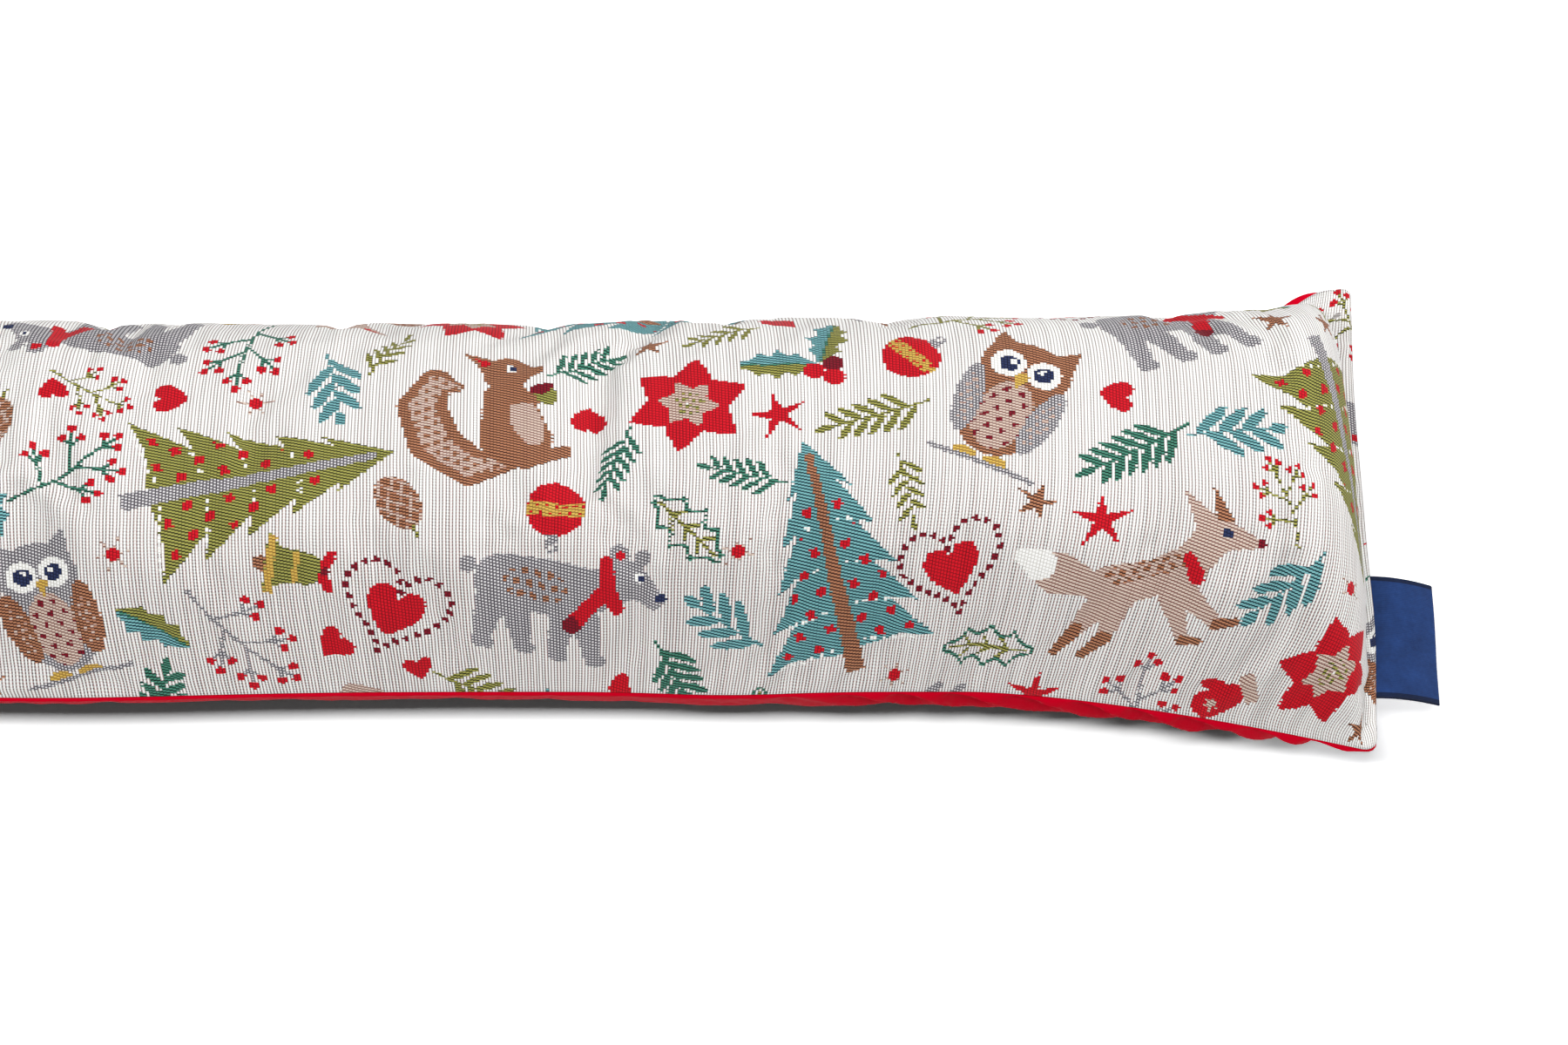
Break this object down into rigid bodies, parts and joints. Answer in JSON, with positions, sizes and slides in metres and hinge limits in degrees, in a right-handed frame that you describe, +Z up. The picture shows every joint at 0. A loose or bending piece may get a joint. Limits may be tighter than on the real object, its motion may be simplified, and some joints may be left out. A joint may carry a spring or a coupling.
{
  "type": "draught excluder",
  "caption": "Long filled draught excluder with a woven tapestry front, a plain red back and a folded tape label in one end seam.",
  "frame": {"origin": "centre of the flat patch on which the back panel rests, midway between the two end seams", "axes": "+X along the cushion towards the end with the label, +Y across it from the front long seam to the rear one, +Z up out of the woven front"},
  "size_m": [0.9121, 0.1767, 0.1088],
  "materials": {
    "tapestry": "cream jacquard tapestry, ribbed, with coloured yarns",
    "red_cloth": "smooth deep red cloth with a low sheen",
    "label_tape": "dense navy woven tape, bare"
  },
  "bodies": {
    "root": {"front_panel": "tapestry", "back_panel": "red_cloth", "label": "label_tape"}
  },
  "joints": []
}
